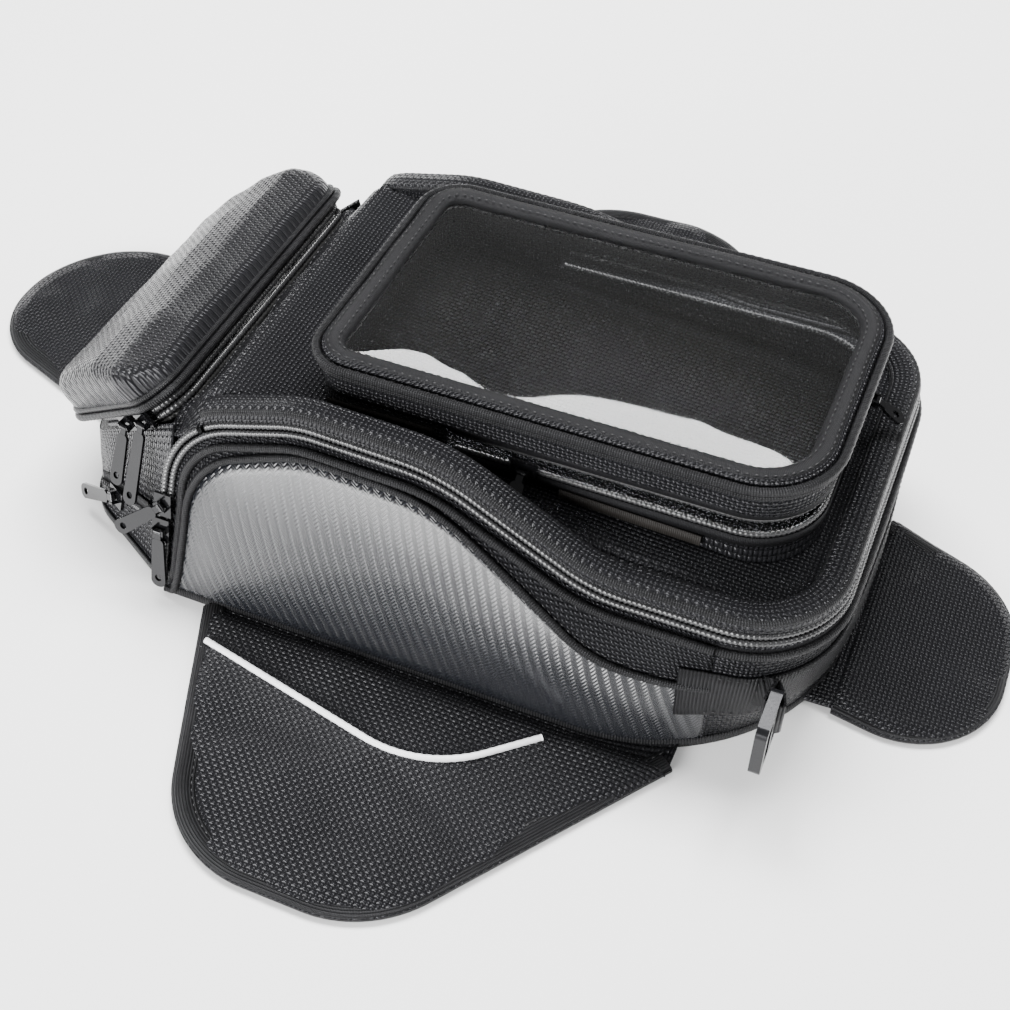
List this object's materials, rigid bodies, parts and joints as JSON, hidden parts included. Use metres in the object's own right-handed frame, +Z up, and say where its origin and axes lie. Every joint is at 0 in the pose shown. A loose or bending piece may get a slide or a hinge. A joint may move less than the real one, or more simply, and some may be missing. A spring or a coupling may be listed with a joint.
{
  "type": "magnetic_motorcycle_tank_bag",
  "caption": "Soft black magnetic motorcycle tank bag with zipped main lid, clear window pocket on top, bulged front pocket and four flaps with magnets on a padded base",
  "frame": {"origin": "middle of the base underside, at the floor", "axes": "+X towards the rounded rear end, -X towards the nose, -Y the near side, +Z up"},
  "size_m": [0.576, 0.498, 0.129],
  "materials": {
    "ballistic_fabric": "glossy",
    "carbon_pu": "glossy",
    "zip_coil": "satin",
    "piping_twill": "satin",
    "window_clear": "glossy",
    "black_metal": "satin",
    "webbing": "matte",
    "reflective": "satin",
    "board": "matte",
    "magnet": "satin",
    "underside_rubber": "matte",
    "grosgrain": "matte",
    "hook_patch": "matte",
    "buckle_plastic": "satin"
  },
  "bodies": {
    "bag": {"underside_sheet": "underside_rubber", "base_board": "board", "near_side_panel": "carbon_pu", "far_side_panel": "carbon_pu", "rear_wall": "ballistic_fabric", "rear_webbing_band": "webbing", "main_zip_lower_row": "zip_coil", "main_zip_front_ends": "zip_coil", "near_side_piping": "piping_twill", "far_side_piping": "piping_twill", "saddle_panel": "ballistic_fabric", "front_pocket_tray": "ballistic_fabric", "front_zip_lower_row": "zip_coil", "nose_wall": "ballistic_fabric", "nose_zip": "zip_coil", "strap_tab": "webbing"},
    "lid": {"main_lid": "ballistic_fabric", "main_zip_upper_row": "zip_coil", "window_pocket_wall": "ballistic_fabric", "window_zip_lower_row": "zip_coil", "near_pocket_strips": "grosgrain", "far_pocket_strips": "grosgrain"},
    "window_lid": {"window_frame": "ballistic_fabric", "window_pane": "window_clear", "window_rim_piping": "piping_twill", "window_zip_upper_row": "zip_coil"},
    "front_cover": {"front_pocket_cover": "ballistic_fabric", "front_zip_upper_row": "zip_coil", "front_pocket_piping": "piping_twill", "hook_patch": "hook_patch"},
    "near_wing": {"near_flap": "ballistic_fabric", "near_flap_binding": "webbing", "near_flap_magnets": "magnet", "near_reflective_piping": "reflective"},
    "far_wing": {"far_flap": "ballistic_fabric", "far_flap_binding": "webbing", "far_flap_magnets": "magnet", "far_reflective_piping": "reflective"},
    "nose_wing": {"nose_flap": "ballistic_fabric", "nose_flap_binding": "webbing", "nose_flap_magnets": "magnet"},
    "rear_wing": {"rear_flap": "ballistic_fabric", "rear_flap_binding": "webbing", "rear_flap_magnets": "magnet"},
    "buckle": {"strap_buckle": "buckle_plastic"},
    "main_upper_slide": {"main_upper_slider": "black_metal"},
    "main_upper_pull": {"main_upper_puller": "black_metal"},
    "main_lower_slide": {"main_lower_slider": "black_metal"},
    "main_lower_pull": {"main_lower_puller": "black_metal"},
    "window_near_slide": {"window_near_slider": "black_metal"},
    "window_near_pull": {"window_near_puller": "black_metal"},
    "window_rear_slide": {"window_rear_slider": "black_metal"},
    "window_rear_pull": {"window_rear_puller": "black_metal"},
    "nose_slide": {"nose_slider": "black_metal"},
    "nose_pull": {"nose_puller": "black_metal"},
    "front_upper_slide": {"front_upper_slider": "black_metal"},
    "front_upper_pull": {"front_upper_puller": "black_metal"},
    "front_lower_slide": {"front_lower_slider": "black_metal"},
    "front_lower_pull": {"front_lower_puller": "black_metal"}
  },
  "joints": [
    {"name": "lid_hinge", "type": "hinge", "parent": "bag", "child": "lid", "pos_m": [-0.1006, 0, 0.098], "axis": [0, -1, 0], "range_deg": [0, 100]},
    {"name": "window_hinge", "type": "hinge", "parent": "lid", "child": "window_lid", "pos_m": [-0.059, 0, 0.10775], "axis": [0, -1, 0], "range_deg": [0, 60]},
    {"name": "cover_hinge", "type": "hinge", "parent": "bag", "child": "front_cover", "pos_m": [-0.2, 0, 0.034], "axis": [0, -1, 0], "range_deg": [0, 70]},
    {"name": "near_wing_hinge", "type": "hinge", "parent": "bag", "child": "near_wing", "pos_m": [0.02, -0.1255, 0.001], "axis": [-1, 0, 0], "range_deg": [-80, 45]},
    {"name": "far_wing_hinge", "type": "hinge", "parent": "bag", "child": "far_wing", "pos_m": [0.02, 0.1255, 0.001], "axis": [1, 0, 0], "range_deg": [-80, 45]},
    {"name": "nose_wing_hinge", "type": "hinge", "parent": "bag", "child": "nose_wing", "pos_m": [-0.1915, 0.022, 0.001], "axis": [0, 1, 0], "range_deg": [-80, 45]},
    {"name": "rear_wing_hinge", "type": "hinge", "parent": "bag", "child": "rear_wing", "pos_m": [0.1915, -0.01, 0.001], "axis": [0, -1, 0], "range_deg": [-80, 45]},
    {"name": "buckle_hinge", "type": "hinge", "parent": "bag", "child": "buckle", "pos_m": [0.173, -0.113, 0.048], "axis": [0, 0, 1], "range_deg": [-60, 60]},
    {"name": "main_upper_zip", "type": "slide", "parent": "bag", "child": "main_upper_slide", "axis": [0.098, 0.266, 0.959], "range_m": [-0.0015, 0.006]},
    {"name": "main_upper_pull_hinge", "type": "hinge", "parent": "main_upper_slide", "child": "main_upper_pull", "pos_m": [-0.1183, -0.11613, 0.0517], "axis": [-0.6428, 0.2047, 0.7382], "range_deg": [0, 120]},
    {"name": "main_lower_zip", "type": "slide", "parent": "bag", "child": "main_lower_slide", "axis": [0.098, 0.266, 0.959], "range_m": [-0.008, 0.001]},
    {"name": "main_lower_pull_hinge", "type": "hinge", "parent": "main_lower_slide", "child": "main_lower_pull", "pos_m": [-0.1196, -0.11987, 0.03821], "axis": [-1, 0, 0], "range_deg": [0, 120]},
    {"name": "window_near_zip", "type": "slide", "parent": "lid", "child": "window_near_slide", "axis": [1, 0, 0], "range_m": [-0.02, 0.078]},
    {"name": "window_near_pull_hinge", "type": "hinge", "parent": "window_near_slide", "child": "window_near_pull", "pos_m": [0.044, -0.0739, 0.0995], "axis": [-1, 0, 0], "range_deg": [0, 120]},
    {"name": "window_rear_zip", "type": "slide", "parent": "lid", "child": "window_rear_slide", "axis": [0, 1, 0], "range_m": [-0.06, 0]},
    {"name": "window_rear_pull_hinge", "type": "hinge", "parent": "window_rear_slide", "child": "window_rear_pull", "pos_m": [0.1729, 0.03, 0.0995], "axis": [0, -1, 0], "range_deg": [0, 120]},
    {"name": "nose_zip", "type": "slide", "parent": "bag", "child": "nose_slide", "axis": [-0.8713, 0.4039, -0.2786], "range_m": [-0.017, 0.013]},
    {"name": "nose_pull_hinge", "type": "hinge", "parent": "nose_slide", "child": "nose_pull", "pos_m": [-0.16128, -0.0996, 0.02433], "axis": [-0.2781, 0.4693, 0.8381], "range_deg": [0, 120]},
    {"name": "front_upper_zip", "type": "slide", "parent": "bag", "child": "front_upper_slide", "axis": [0.7693, -0.2692, 0.5794], "range_m": [-0.005, 0.01]},
    {"name": "front_upper_pull_hinge", "type": "hinge", "parent": "front_upper_slide", "child": "front_upper_pull", "pos_m": [-0.13821, -0.09259, 0.07591], "axis": [-0.976, 0.2179, 0], "range_deg": [0, 120]},
    {"name": "front_lower_zip", "type": "slide", "parent": "bag", "child": "front_lower_slide", "axis": [0.7693, -0.2692, 0.5794], "range_m": [-0.026, 0.005]},
    {"name": "front_lower_pull_hinge", "type": "hinge", "parent": "front_lower_slide", "child": "front_lower_pull", "pos_m": [-0.15307, -0.08739, 0.06472], "axis": [-0.976, 0.2179, 0], "range_deg": [0, 120]}
  ]
}
